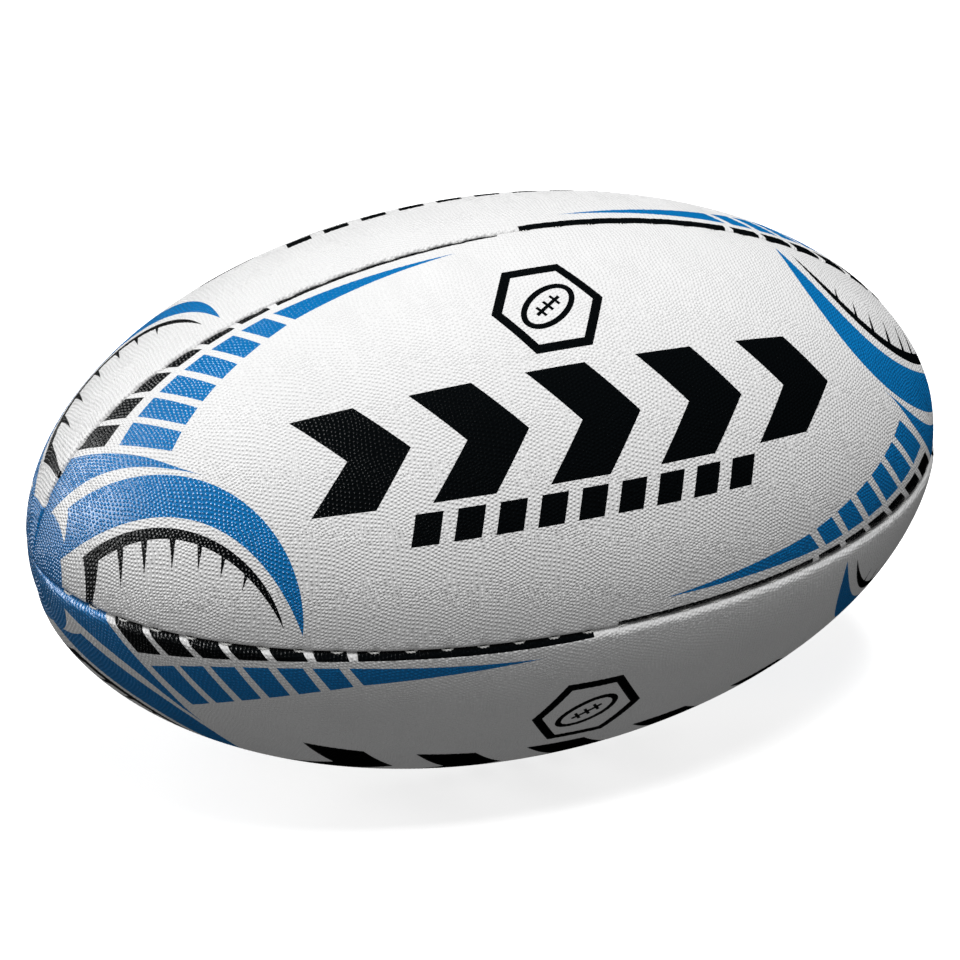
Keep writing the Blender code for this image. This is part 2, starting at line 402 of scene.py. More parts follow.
def chevrons():
    """A row of bold chevrons along the panel's middle."""
    shapes = []
    for k in range(CHEVRONS):
        start = CHEVRON_START + CHEVRON_PITCH * k
        end = start + CHEVRON_STROKE
        point = start + CHEVRON_POINT
        half_way = (CHEVRON_TOP + row_bottom(point)) / 2
        shapes.append(
            closed(
                (start, CHEVRON_TOP),
                (end, CHEVRON_TOP),
                (point + CHEVRON_STROKE, half_way),
                (end, row_bottom(end)),
                (start, row_bottom(start)),
                (point, half_way),
            )
        )
    return shapes


DASHES = 9
DASH_START = -59.0
DASH_PITCH = 12.7
DASH_LENGTH = 8.3
DASH_LEAN = 2.6
DASH_HEIGHT = 9.3
DASH_GAP = 2.6


def dashes():
    """A row of short slanted dashes under the chevrons."""
    shapes = []
    for k in range(DASHES):
        start = DASH_START + DASH_PITCH * k
        top_start = start + DASH_LEAN
        top_end = top_start + DASH_LENGTH
        high_start = row_bottom(top_start) - DASH_GAP
        high_end = row_bottom(top_end) - DASH_GAP
        shapes.append(
            closed(
                (top_start, high_start),
                (top_end, high_end),
                (start + DASH_LENGTH, high_end - DASH_HEIGHT),
                (start, high_start - DASH_HEIGHT),
            )
        )
    return shapes


BADGE = (-1.0, 34.0)
BADGE_TURN = math.radians(32)
BADGE_HEXAGONS = (18.0, 14.6)
BADGE_OVALS = ((10.6, 6.2), (8.6, 4.4))
BADGE_LACE = (5.2, 0.55)
BADGE_CROSS_LACE = (0.5, 2.0)
LACE_PITCH = 3.2


def hexagon(radius):
    angles = [k * math.pi / 3 for k in range(6)]
    return closed(*(BADGE + radius * np.array([math.cos(a), math.sin(a)]) for a in angles))


def badge_bar(middle, half_length, half_breadth):
    """A bar in line with the badge's oval, this far along it."""
    lace = np.array([math.cos(BADGE_TURN), math.sin(BADGE_TURN)])
    across = np.array([-lace[1], lace[0]])
    signs = ((-1, -1), (1, -1), (1, 1), (-1, 1))
    return closed(
        *(BADGE + lace * (middle + a * half_length) + across * b * half_breadth for a, b in signs)
    )


def badge_lines():
    """A plain badge: a hexagonal ring round an oval ring with a lace along its middle."""
    hexagons = [hexagon(radius) for radius in BADGE_HEXAGONS]
    ovals = [oval(BADGE, radii, BADGE_TURN) for radii in BADGE_OVALS]
    return [*hexagons, *ovals, badge_bar(0.0, *BADGE_LACE)]


def lace_bars():
    """The three short bars across the badge's lace."""
    return [badge_bar(middle, *BADGE_CROSS_LACE) for middle in (-LACE_PITCH, 0.0, LACE_PITCH)]


def print_layers():
    """(colour, outlines) in the order they are printed. Outlines of one layer cut each other out."""
    blue = [nose_and_crescents(), *blue_bars()]
    black = [inner_arc(), *black_bars()]
    ticks = arc_ticks()
    layers = [(BLUE, [shape]) for shape in blue]
    layers += [(BLACK, [shape]) for shape in (*black, *ticks)]
    layers += [(colour, [-shape for shape in shapes]) for colour, shapes in layers]
    layers += [(BLACK, [shape]) for shape in (*chevrons(), *dashes(), *lace_bars())]
    layers.append((BLACK, badge_lines()))
    return layers


# The skin's mesh.


def inside(points, outline):
    """Whether each point lies inside a closed outline."""
    low, high = outline.min(axis=0), outline.max(axis=0)
    near = np.nonzero(((points > low) & (points < high)).all(axis=1))[0]
    found = np.zeros(len(points), bool)
    if not len(near):
        return found
    x, y = points[near, 0], points[near, 1]
    odd = np.zeros(len(near), bool)
    for (ax, ay), (bx, by) in zip(outline, np.roll(outline, -1, axis=0)):
        if ay == by:
            continue
        crosses = (ay > y) != (by > y)
        odd ^= crosses & (x < (bx - ax) * (y - ay) / (by - ay) + ax)
    found[near] = odd
    return found


def without_repeats(outline):
    steps = np.linalg.norm(outline - np.roll(outline, 1, axis=0), axis=1)
    return outline[steps > 1e-4]


def panel_outline():
    """The panel's own edge, a whisker short of its two tips."""
    s = np.linspace(arc[0], arc[-1], int((arc[-1] - arc[0]) / OUTLINE_STEP))
    s = s[half_width(s) > SMALLEST_HALF_WIDTH]
    upper = np.stack([s, half_width(s)], axis=-1)
    return np.concatenate([upper, -upper])


def nearest(tree_points):
    """A search tree of flat points."""
    tree = KDTree(len(tree_points))
    for index, (x, y) in enumerate(tree_points):
        tree.insert((x, y, 0), index)
    tree.balance()
    return tree


def middles_of_circles(a, b, c):
    """The point as far from a as from b and c, for each row."""
    b, c = b - a, c - a
    twice = 2 * (b[:, 0] * c[:, 1] - b[:, 1] * c[:, 0])
    bb, cc = (b**2).sum(axis=1), (c**2).sum(axis=1)
    x = (c[:, 1] * bb - b[:, 1] * cc) / twice
    y = (b[:, 0] * cc - c[:, 0] * bb) / twice
    return a + np.stack([x, y], axis=-1)


def lattice_points(rng):
    """The pebbles' tops, in wavering rows, and the hollows, each as far from three tops."""
    rows = int(PAST_SEAM / (LATTICE * math.sqrt(3) / 2))
    columns = int(PAST_TIP / LATTICE)
    j, i = np.mgrid[-rows : rows + 1, -columns : columns + 1]
    s = (i + 0.5 * (j % 2)) * LATTICE
    w = j * LATTICE * math.sqrt(3) / 2
    is_top = (i - np.floor_divide(j, 2) - j) % 3 == 0
    places = np.stack([s, w], axis=-1) * GRAIN_STRETCH
    in_width = np.abs(places[..., 1]) < half_width(places[..., 0]) + LATTICE_MARGIN
    in_length = np.abs(places[..., 0]) < arc[-1] + LATTICE_MARGIN
    near = in_width & in_length
    tops = places[is_top & near]
    hollows = places[~is_top & near]
    tree = nearest(tops)
    neighbours = [[found[1] for found in tree.find_n((x, y, 0), 3)] for x, y in hollows]
    warp = np.zeros_like(tops)
    for _ in range(WARP_WAVES):
        heading, phase = rng.uniform(0, math.tau, 2)
        length = rng.uniform(*WARP_LENGTHS)
        along = tops[:, 0] * math.cos(heading) + tops[:, 1] * math.sin(heading)
        push = rng.uniform(-1, 1, 2) * WARP * length / WARP_LENGTHS[1]
        warp += np.sin(along * math.tau / length + phase)[:, None] * push
    tops = tops + warp + rng.uniform(-TOP_JITTER, TOP_JITTER, tops.shape)
    a, b, c = (tops[corner] for corner in np.array(neighbours).T)
    middles = middles_of_circles(a, b, c)
    centroids = (a + b + c) / 3
    astray = np.linalg.norm(middles - centroids, axis=1) > LATTICE / 2
    hollows = np.where(astray[:, None], centroids, middles)
    return tops, hollows


def clear_of(points, borders):
    """Which points are at least BORDER_CLEARANCE from every border point."""
    tree = nearest(borders)
    return np.array([tree.find((x, y, 0))[2] >= BORDER_CLEARANCE for x, y in points])


def chained(outlines):
    """The outlines' points in one list, and the edges that close each outline."""
    edges = []
    first = 0
    for outline in outlines:
        count = len(outline)
        edges += [(first + k, first + (k + 1) % count) for k in range(count)]
        first += count
    return np.concatenate(outlines), edges


def triangulated(outlines, others, edge, hole):
    """Triangles whose edges follow the outlines, inside the panel's edge and outside the hole."""
    borders, border_edges = chained(outlines)
    every = [Vector(p) for p in np.concatenate([borders, *others])]
    found = delaunay_2d_cdt(every, border_edges, [], 0, 1e-5)
    points = np.array([(v.x, v.y) for v in found[0]])
    faces = np.array(found[2])
    centres = points[faces].mean(axis=1)
    kept = inside(centres, edge)
    if hole is not None:
        kept &= ~inside(centres, hole)
    return points, faces[kept], centres[kept]


def shoulder_rows(edge):
    """Points in rows close beside the panel's edge, where it rolls down fastest."""
    upper = edge[: len(edge) // 2]
    rows = []
    for inset in SHOULDER_ROWS:
        row = upper[upper[:, 1] > 2 * inset] - (0, inset)
        rows += [row, -row]
    return np.concatenate(rows)


def flat_panel(layers, hole=None):
    """A flat panel: its points, faces, colours, pebble tops, edge and hole."""
    rng = np.random.default_rng(7)
    edge = panel_outline()
    shapes = [without_repeats(shape) for _, shapes in layers for shape in shapes]
    if hole is not None:
        shapes.append(hole)
    rows = shoulder_rows(edge)
    rows = rows[clear_of(rows, np.concatenate(shapes))]
    tops, hollows = lattice_points(rng)
    points = np.concatenate([tops, hollows])
    from_edge = half_width(points[:, 0]) - np.abs(points[:, 1])
    points = points[from_edge > SHOULDER_ROWS[-1] + BORDER_CLEARANCE]
    points = points[np.abs(points[:, 0]) < arc[-1] - 1]
    points = points[clear_of(points, np.concatenate([edge, *shapes]))]
    points, faces, centres = triangulated([edge, *shapes], [rows, points], edge, hole)
    colours = np.full(len(faces), WHITE)
    for colour, shapes in layers:
        odd = np.zeros(len(faces), bool)
        for shape in shapes:
            odd ^= inside(centres, shape)
        colours[odd] = colour
    used, index = np.unique(faces, return_inverse=True)
    faces = index.reshape(-1, 3)
    return {
        "points": points[used],
        "faces": faces,
        "colours": colours,
        "tops": tops,
        "edge": edge,
        "hole": hole,
    }


def edge_loops(faces):
    """The open edges of a mesh, as closed loops of points."""
    sides = np.concatenate([faces[:, [0, 1]], faces[:, [1, 2]], faces[:, [2, 0]]])
    have = {(a, b) for a, b in sides.tolist()}
    following = {a: b for a, b in have if (b, a) not in have}
    loops = []
    while following:
        start = next(iter(following))
        loop = [start]
        while (following_one := following.pop(loop[-1])) != start:
            loop.append(following_one)
        loops.append(loop)
    return loops


def pebble_offsets(points, faces, tops):
    """For every face corner, how far it is from its face's own top, in both directions."""
    tree = nearest(tops)
    centres = points[faces].mean(axis=1)
    own = tops[[tree.find((x, y, 0))[1] for x, y in centres]]
    return (points[faces] - own[:, None, :]) / LATTICE


def top_distance(points, tops):
    """How far a point is from the nearest pebble's top: 0 on it, 1 in the hollows."""
    tree = nearest(tops)
    return np.clip([tree.find((x, y, 0))[2] / LATTICE for x, y in points], 0, 1)


def strip(before, after):
    """The faces between two rows of points that close on themselves."""
    next_before, next_after = np.roll(before, -1), np.roll(after, -1)
    first = np.stack([next_before, before, after], axis=-1)
    second = np.stack([next_before, after, next_after], axis=-1)
    return np.concatenate([first, second])


def moved_in(points, distance):
    """Points of the panel's edge moved in towards its centre line."""
    step = np.minimum(distance, MOST_MOVED_IN * half_width(points[:, 0]))
    return points - np.stack([np.zeros(len(points)), np.sign(points[:, 1]) * step], axis=-1)


def inner_lattice(hole):
    """Widely spaced points for the back of the skin."""
    s, w = np.meshgrid(
        np.arange(-PAST_TIP, PAST_TIP, INNER_SPACING), np.arange(-PAST_SEAM, PAST_SEAM, INNER_SPACING)
    )
    points = np.stack([s, w], axis=-1).reshape(-1, 2)
    points = points[half_width(points[:, 0]) - np.abs(points[:, 1]) > INNER_SPACING / 2]
    if hole is not None:
        tree = nearest(hole)
        near = np.array([tree.find((x, y, 0))[2] for x, y in points]) < INNER_SPACING / 2
        points = points[~near & ~inside(points, hole)]
    return points


class Skin:
    """The points, faces and colours of one panel's skin, as it is built up."""

    def __init__(self, sheet, panel):
        self.panel = panel
        self.panel_name = PANELS[panel]
        self.sheet = sheet
        flat = sheet["points"]
        from_top = top_distance(flat, sheet["tops"])
        inset = half_width(flat[:, 0]) - np.abs(flat[:, 1])
        raised = PEBBLE_HEIGHT * (1 - from_top) * np.clip(inset / PEBBLE_FADE, 0, 1)
        self.flat = [flat]
        self.places = [self.laid(flat, self.depth(flat) - raised)]
        self.faces = [sheet["faces"]]
        self.colours = [sheet["colours"]]
        self.count = len(flat)
        self.outer_faces = len(sheet["faces"])

    def depth(self, flat):
        return skin_depth(flat[:, 0], flat[:, 1], self.panel_name)

    def back_depth(self, flat):
        """The back of the skin, which stays clear of the ply under it where the skin lies low."""
        return np.minimum(self.depth(flat) + SKIN, DEEPEST_BACK)

    def laid(self, flat, depth):
        return laid_on_ball(flat[:, 0], flat[:, 1], depth, self.panel)

    def row(self, flat, depth):
        """Adds points, and returns their numbers."""
        self.flat.append(flat)
        self.places.append(self.laid(flat, depth))
        self.count += len(flat)
        return np.arange(self.count - len(flat), self.count)

    def join(self, before, after, colours):
        self.faces.append(strip(before, after))
        self.colours.append(np.concatenate([colours, colours]))

    def turn_in(self, loop, colours):
        """Turns the panel's long edges in, and brings their backs up to the back of the skin."""
        edge = self.sheet["points"][loop]
        deep = self.depth(edge)
        back = moved_in(edge, SKIN)
        behind = self.back_depth(back)
        white = np.full(len(loop), WHITE)
        fold = self.row(edge, deep + FOLD_SHARE * (FLANGE_END - deep))
        end = self.row(edge, np.full(len(loop), FLANGE_END))
        back_end = self.row(back, np.full(len(loop), FLANGE_END))
        back_top = self.row(back, behind)
        self.join(loop, fold, colours)
        self.join(fold, end, white)
        self.join(end, back_end, white)
        self.join(back_end, back_top, white)
        return back_top, back

    def cut_through(self, loop, colours):
        """The wall of the valve's hole."""
        edge = self.sheet["points"][loop]
        back = self.row(edge, self.back_depth(edge))
        self.join(loop, back, colours)
        return back, edge

    def close_back(self, loops):
        """The smooth back of the skin, between the loops of points that its edges end in."""
        hole = loops[1][1] if len(loops) > 1 else None
        outlines = [flat for _, flat in loops]
        inner = inner_lattice(hole)
        borders, _ = chained(outlines)
        points, faces, _ = triangulated(outlines, [inner], outlines[0], hole)
        if len(points) != len(borders) + len(inner):
            raise ValueError("the back's outlines cross")
        added = self.row(inner, self.back_depth(inner))
        numbers = np.concatenate([*(row for row, _ in loops), added])
        self.faces.append(numbers[faces][:, ::-1])
        self.colours.append(np.full(len(faces), WHITE))


def panel_skin(panel, sheet):
    """One panel's skin on the ball: pebbled outside, edges turned in, and a smooth back."""
    skin = Skin(sheet, panel)
    colour_at = np.zeros(len(sheet["points"]), int)
    colour_at[sheet["faces"].reshape(-1)] = np.repeat(sheet["colours"], 3)
    found = sorted(edge_loops(sheet["faces"]), key=len, reverse=True)
    loops = []
    for loop, finish in zip(found, (skin.turn_in, skin.cut_through)):
        loop = np.array(loop)
        loops.append(finish(loop, colour_at[loop]))
    skin.close_back(loops)
    return skin


def panel_mesh(panel, sheet):
    skin = panel_skin(panel, sheet)
    places = np.concatenate(skin.places)
    faces = np.concatenate(skin.faces)
    colours = np.concatenate(skin.colours)
    flat = np.concatenate(skin.flat)
    name = f"cover_{PANELS[panel]}"
    mesh = bpy.data.meshes.new(name)
    mesh.vertices.add(len(places))
    mesh.vertices.foreach_set("co", places.astype(np.float32).ravel())
    mesh.loops.add(3 * len(faces))
    mesh.loops.foreach_set("vertex_index", faces.astype(np.int32).ravel())
    mesh.polygons.add(len(faces))
    mesh.polygons.foreach_set("loop_start", np.arange(0, 3 * len(faces), 3, dtype=np.int32))
    mesh.update(calc_edges=True)
    mesh.polygons.foreach_set("material_index", colours.astype(np.int32))
    mesh.polygons.foreach_set("use_smooth", np.ones(len(faces), bool))
    offsets = np.tile(np.array(NO_PEBBLE), (len(faces), 3, 1))
    outer = skin.outer_faces
    offsets[:outer] = pebble_offsets(sheet["points"], sheet["faces"], sheet["tops"])
    layer = mesh.uv_layers.new(name=PEBBLE_MAP)
    layer.data.foreach_set("uv", offsets.astype(np.float32).ravel())
    inset = half_width(flat[:, 0]) - np.abs(flat[:, 1])
    if EDGE_RISE[PANELS[panel]] < 0:
        inset = inset + NO_RIBS
    seam = np.stack([flat[:, 0], inset], axis=-1)[faces.ravel()]
    layer = mesh.uv_layers.new(name=SEAM_MAP)
    layer.data.foreach_set("uv", seam.astype(np.float32).ravel())
    if mesh.validate():
        raise ValueError(f"{name} had faces that Blender took out")
    mesh.update()
    obj = bpy.data.objects.new(name, mesh)
    bpy.context.scene.collection.objects.link(obj)
    return obj


# The stitching and the valve.


def seam_place(seam, s, depth, across):
    """A point in millimetres from the plane of a seam, this far inside the ball."""
    middle = laid_on_ball(np.array([s]), np.zeros(1), np.array([depth]), seam + 0.5)[0]
    sideways = outward(FRONT_PANEL_ANGLE + (seam + 1.5) * QUARTER)
    return middle + np.array(sideways) * across * MM


def thread_line(seam):
    """The thread's middle: a stitch on the higher edge at every station, and inside between them."""
    line = []
    side = -1
    higher = max(PANELS[seam], PANELS[(seam + 1) % 4], key=EDGE_RISE.get)
    lip_side = -1 if PANELS[seam] == higher else 1
    sunk = STITCH_SUNK[higher]
    for s in stations:
        lip = float(skin_depth(np.array([s]), half_width(np.array([s])) - STITCH_INSET, higher)[0])
        stitch = (
            (-STITCH / 2 - THREAD_CROSSING, -THREAD_SIDE * side, THREAD_DEPTH),
            (-STITCH / 2, 0.0, THREAD_RISES),
            (-STITCH / 2, 0.0, lip + STITCH_DROP),
            (-STITCH / 2 + STITCH_CORNER, lip_side * STITCH_INSET, lip + sunk),
            (STITCH / 2 - STITCH_CORNER, lip_side * STITCH_INSET, lip + sunk),
            (STITCH / 2, 0.0, lip + STITCH_DROP),
            (STITCH / 2, 0.0, THREAD_RISES),
            (STITCH / 2 + THREAD_CROSSING, THREAD_SIDE * side, THREAD_DEPTH),
        )
        line += [seam_place(seam, s + ahead, depth, across) for ahead, across, depth in stitch]
        side = -side
    return np.array(line)


def rounded(line, times=2):
    """A line with its corners cut off, over and over."""
    for _ in range(times):
        cut = np.stack([line[:-1] * 0.75 + line[1:] * 0.25, line[:-1] * 0.25 + line[1:] * 0.75], axis=1)
        line = np.concatenate([line[:1], cut.reshape(-1, 3), line[-1:]])
    return line


def evenly_spaced(line, step):
    reached = np.concatenate([[0], np.linalg.norm(np.diff(line, axis=0), axis=1).cumsum()])
    wanted = np.linspace(0, reached[-1], int(reached[-1] / step))
    return np.stack([np.interp(wanted, reached, line[:, k]) for k in range(3)], axis=-1)


def frames_along(line):
    """A pair of directions square to the line at each point, turning as little as they can."""
    ahead = np.gradient(line, axis=0)
    ahead /= np.linalg.norm(ahead, axis=1)[:, None]
    side = np.cross(ahead[0], (0.0, 0.6, 0.8))
    sides = []
    for tangent in ahead:
        side = side - tangent * (side @ tangent)
        side = side / np.linalg.norm(side)
        sides.append(side)
    sides = np.array(sides)
    return sides, np.cross(ahead, sides)


def tube(bm, line, radius):
    """A round tube along the line, with closed ends."""
    sides, ups = frames_along(line)
    angles = np.linspace(0, math.tau, THREAD_FACETS, endpoint=False)
    rings = []
    for middle, side, up in zip(line, sides, ups):
        spokes = [side * math.cos(a) + up * math.sin(a) for a in angles]
        rings.append([bm.verts.new(middle + radius * spoke) for spoke in spokes])
    for ring, following in zip(rings, rings[1:]):
        for k in range(THREAD_FACETS):
            m = (k + 1) % THREAD_FACETS
            bm.faces.new((ring[k], ring[m], following[m], following[k]))
    bm.faces.new(rings[0][::-1])
    bm.faces.new(rings[-1])


def twisted_thread(seam):
    """Two strands twisted together."""
    line = evenly_spaced(rounded(thread_line(seam)), THREAD_STEP * MM)
    sides, ups = frames_along(line)
    turn = np.arange(len(line)) * THREAD_STEP / TWIST_PITCH * math.tau
    bm = bmesh.new()
    for strand in range(2):
        angle = (turn + strand * math.pi)[:, None]
        around = sides * np.cos(angle) + ups * np.sin(angle)
        tube(bm, line + around * STRAND_OFFSET * MM, STRAND_RADIUS * MM)
    return from_bmesh(f"thread_{PANELS[seam]}_to_{PANELS[(seam + 1) % 4]}", bm)


def from_bmesh(name, bm):
    bmesh.ops.recalc_face_normals(bm, faces=bm.faces)
    mesh = bpy.data.meshes.new(name)
    bm.to_mesh(mesh)
    bm.free()
    mesh.polygons.foreach_set("use_smooth", np.ones(len(mesh.polygons), bool))
    mesh.set_sharp_from_angle(angle=math.radians(40))
    obj = bpy.data.objects.new(name, mesh)
    bpy.context.scene.collection.objects.link(obj)
    return obj


def turned(name, profile, frame_matrix):
    """A round piece from the profile of its right half, given as (radius, height) in millimetres."""
    bm = bmesh.new()
    rings = []
    for k in range(VALVE_SIDES):
        a = math.tau * k / VALVE_SIDES
        rings.append(
            [
                bm.verts.new(frame_matrix @ Vector((r * math.cos(a), r * math.sin(a), h)))
                for r, h in profile
            ]
        )
    count = len(profile)
    for ring, following in zip(rings, rings[1:] + rings[:1]):
        for k in range(count):
            m = (k + 1) % count
            bm.faces.new((ring[k], following[k], following[m], ring[m]))
    return from_bmesh(name, bm)


def fillet(corner, towards_a, towards_b, steps=4):
    """Points of a small round over a corner, from one side to the other."""
    corner, a, b = np.array(corner), np.array(towards_a), np.array(towards_b)
    t = np.linspace(0, 1, steps + 1)[:, None]
    return [tuple(p) for p in (1 - t) ** 2 * a + 2 * t * (1 - t) * corner + t**2 * b]


# Materials.


class Nodes:
    """A new material's node tree, and short ways to add to it."""

    def __init__(self, name):
        self.material = bpy.data.materials.new(name)
        self.material.use_nodes = True
        self.tree = self.material.node_tree
        self.shader = self.tree.nodes["Principled BSDF"]

    def add(self, kind, inputs=(), **settings):
        node = self.tree.nodes.new(kind)
        for key, value in settings.items():
            setattr(node, key, value)
        for key, value in dict(inputs).items():
            self.put(node.inputs[key], value)
        return node

    def put(self, socket, value):
        if isinstance(value, bpy.types.NodeSocket):
            self.tree.links.new(value, socket)
        else:
            socket.default_value = value

    def math(self, operation, *values):
        node = self.add("ShaderNodeMath", enumerate(values), operation=operation)
        return node.outputs[0]

    def ramp(self, value, low, high, to_low, to_high, smooth=False):
        inputs = {"Value": value, "From Min": low, "From Max": high}
        inputs |= {"To Min": to_low, "To Max": to_high}
        kind = "SMOOTHSTEP" if smooth else "LINEAR"
        return self.add("ShaderNodeMapRange", inputs, interpolation_type=kind).outputs["Result"]

    def mix(self, factor, a, b):
        node = self.add("ShaderNodeMix", data_type="RGBA")
        self.put(node.inputs[0], factor)
        self.put(node.inputs[6], (*a, 1.0) if isinstance(a, tuple) else a)
        self.put(node.inputs[7], (*b, 1.0) if isinstance(b, tuple) else b)
        return node.outputs[2]

    def noise(self, scale, detail=3.0, roughness=0.5):
        coordinates = self.add("ShaderNodeTexCoord").outputs["Object"]
        inputs = {"Vector": coordinates, "Scale": scale, "Detail": detail, "Roughness": roughness}
        return self.add("ShaderNodeTexNoise", inputs).outputs["Fac"]

    def bump(self, height, distance, strength=1.0, normal=None):
        inputs = {"Height": height, "Distance": distance, "Strength": strength}
        if normal is not None:
            inputs["Normal"] = normal
        return self.add("ShaderNodeBump", inputs).outputs["Normal"]


def darker(colour, share):
    return tuple(c * share for c in colour)


def rubber_print(name, colour, hollow_shade_share, roughness, specular):
    """Pebbled rubber in one ink, with painted shade darkening its hollows, an uneven gloss and ribs
    beside the seams.
    """
    n = Nodes(name)
    pebble = n.add("ShaderNodeUVMap", uv_map=PEBBLE_MAP).outputs["UV"]
    seam = n.add("ShaderNodeUVMap", uv_map=SEAM_MAP).outputs["UV"]
    parts = n.add("ShaderNodeSeparateXYZ", {"Vector": seam})
    from_top = n.add("ShaderNodeVectorMath", {0: pebble}, operation="LENGTH").outputs["Value"]
    drawn_in = n.ramp(parts.outputs["Y"], 0.6, 5.0, 1.0, 0.0, smooth=True)
    shown = n.math("MULTIPLY_ADD", drawn_in, -0.4, 1.0)
    dome = n.math("MULTIPLY", n.ramp(from_top, 0.05, 0.88, 1.0, 0.0, smooth=True), shown)
    ribs = n.math("SINE", n.math("MULTIPLY", parts.outputs["X"], math.tau / RIB_PITCH))
    blotch = n.noise(45.0)
    grain = n.noise(3800.0, detail=2.0)
    tinted = n.mix(n.ramp(blotch, 0.3, 0.7, 0.0, 1.0), darker(colour, 0.97), colour)
    # Painted shade: the colour darkens towards black in the hollows between the pebbles, where shade
    # would fall.
    painted_hollow_shade = n.ramp(from_top, 0.5, 0.85, 1.0, hollow_shade_share, smooth=True)
    n.put(n.shader.inputs["Base Color"], n.mix(painted_hollow_shade, (0.0, 0.0, 0.0), tinted))
    n.put(n.shader.inputs["Roughness"], n.ramp(grain, 0.3, 0.7, roughness - 0.05, roughness + 0.07))
    n.put(n.shader.inputs["Specular IOR Level"], specular)
    fine = n.bump(grain, 0.00002)
    ribbed = n.bump(n.math("MULTIPLY", ribs, drawn_in), RIB_HEIGHT, normal=fine)
    n.put(n.shader.inputs["Normal"], n.bump(dome, PEBBLE_SHADER_HEIGHT, normal=ribbed))
    return n.material


def woven(name, colour, threads_per_metre, roughness):
    """Plain-woven cloth."""
    n = Nodes(name)
    coordinates = n.add("ShaderNodeTexCoord").outputs["Object"]
    waves = []
    for direction in ("X", "Z"):
        inputs = {"Vector": coordinates, "Scale": threads_per_metre / math.tau, "Distortion": 0.4}
        waves.append(n.add("ShaderNodeTexWave", inputs, bands_direction=direction).outputs["Fac"])
    cloth = n.math("MAXIMUM", *waves)
    slub = n.noise(400.0)
    worn = n.mix(n.ramp(slub, 0.3, 0.7, 0.0, 1.0), darker(colour, 0.88), colour)
    n.put(n.shader.inputs["Base Color"], n.mix(cloth, darker(colour, 0.7), worn))
    n.put(n.shader.inputs["Roughness"], n.ramp(slub, 0.3, 0.7, roughness - 0.06, roughness))
    n.put(n.shader.inputs["Normal"], n.bump(cloth, 0.00012))
    return n.material


def moulded(name, colour, roughness, grain_scale):
    """Moulded rubber with a fine spark-eroded grain."""
    n = Nodes(name)
    grain = n.noise(grain_scale, detail=4.0)
    blotch = n.noise(120.0)
    n.put(n.shader.inputs["Base Color"], n.mix(blotch, darker(colour, 0.8), darker(colour, 1.2)))
    n.put(n.shader.inputs["Roughness"], n.ramp(grain, 0.3, 0.7, roughness - 0.07, roughness + 0.07))
    n.put(n.shader.inputs["Normal"], n.bump(grain, 0.00003))
    return n.material


def waxed_thread(name, colour):
    n = Nodes(name)
    fibre = n.noise(6000.0, detail=2.0)
    n.put(n.shader.inputs["Base Color"], n.mix(fibre, darker(colour, 0.8), colour))
    n.put(n.shader.inputs["Roughness"], n.ramp(fibre, 0.3, 0.7, 0.45, 0.65))
    n.put(n.shader.inputs["Normal"], n.bump(fibre, 0.00003))
    return n.material


FLOOR_GLOW = 0.75


def painted_floor(name):
    """Pale floor paint with a glow of its own, so that the ball's shadow stays light."""
    n = Nodes(name)
    grain = n.noise(25.0)
    n.put(n.shader.inputs["Base Color"], n.mix(grain, (0.88, 0.88, 0.88), (0.90, 0.90, 0.90)))
    n.put(n.shader.inputs["Roughness"], n.ramp(grain, 0.3, 0.7, 0.75, 0.85))
    n.put(n.shader.inputs["Specular IOR Level"], 0.2)
    n.put(n.shader.inputs["Emission Color"], (1.0, 1.0, 1.0, 1.0))
    n.put(n.shader.inputs["Emission Strength"], FLOOR_GLOW)
    n.material.cycles.emission_sampling = "NONE"
    return n.material


# The pieces.

REAR = PANELS.index("rear")
valve = next(mount for mount in frame["record"]["mounts"] if mount["name"] == "valve_face")
valve_out = Vector(valve["axis"]).normalized()
valve_angle = math.atan2(valve_out.z, -valve_out.y)
valve_across = (valve_angle - FRONT_PANEL_ANGLE - REAR * QUARTER + math.pi) % math.tau - math.pi
valve_edge = oval((0.0, valve_across * HALF_GIRTH), (VALVE_HOLE, VALVE_HOLE))[:-1]

layers = print_layers()
plain_sheet = flat_panel(layers)
valve_sheet = flat_panel(layers, valve_edge)

# The third number of each ink is the share of its colour kept in the painted shade of the hollows.
inks = (
    rubber_print("white_rubber", (0.84, 0.84, 0.84), 0.93, 0.45, 0.3),
    rubber_print("blue_ink", (0.001, 0.19, 0.52), 0.80, 0.35, 0.4),
    rubber_print("black_ink", (0.0025, 0.0035, 0.0042), 0.80, 0.35, 0.2),
)

for panel, panel_name in enumerate(PANELS):
    cover = panel_mesh(panel, valve_sheet if panel == REAR else plain_sheet)
    for ink in inks:
        cover.data.materials.append(ink)
    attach(cover, "root")
    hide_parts(f"cover_skin_{panel_name}")

wax = waxed_thread("waxed_polyester", (0.86, 0.86, 0.84))
for seam in range(4):
    thread = twisted_thread(seam)
    thread.data.materials.append(wax)
    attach(thread, "root")
    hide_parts(f"seam_thread_{PANELS[seam]}_to_{PANELS[(seam + 1) % 4]}")

turn_to_valve = Vector((0, 0, 1)).rotation_difference(valve_out).to_matrix().to_4x4()
valve_frame = Matrix.Translation(valve_out * HALF_GIRTH * MM) @ turn_to_valve @ Matrix.Scale(MM, 4)
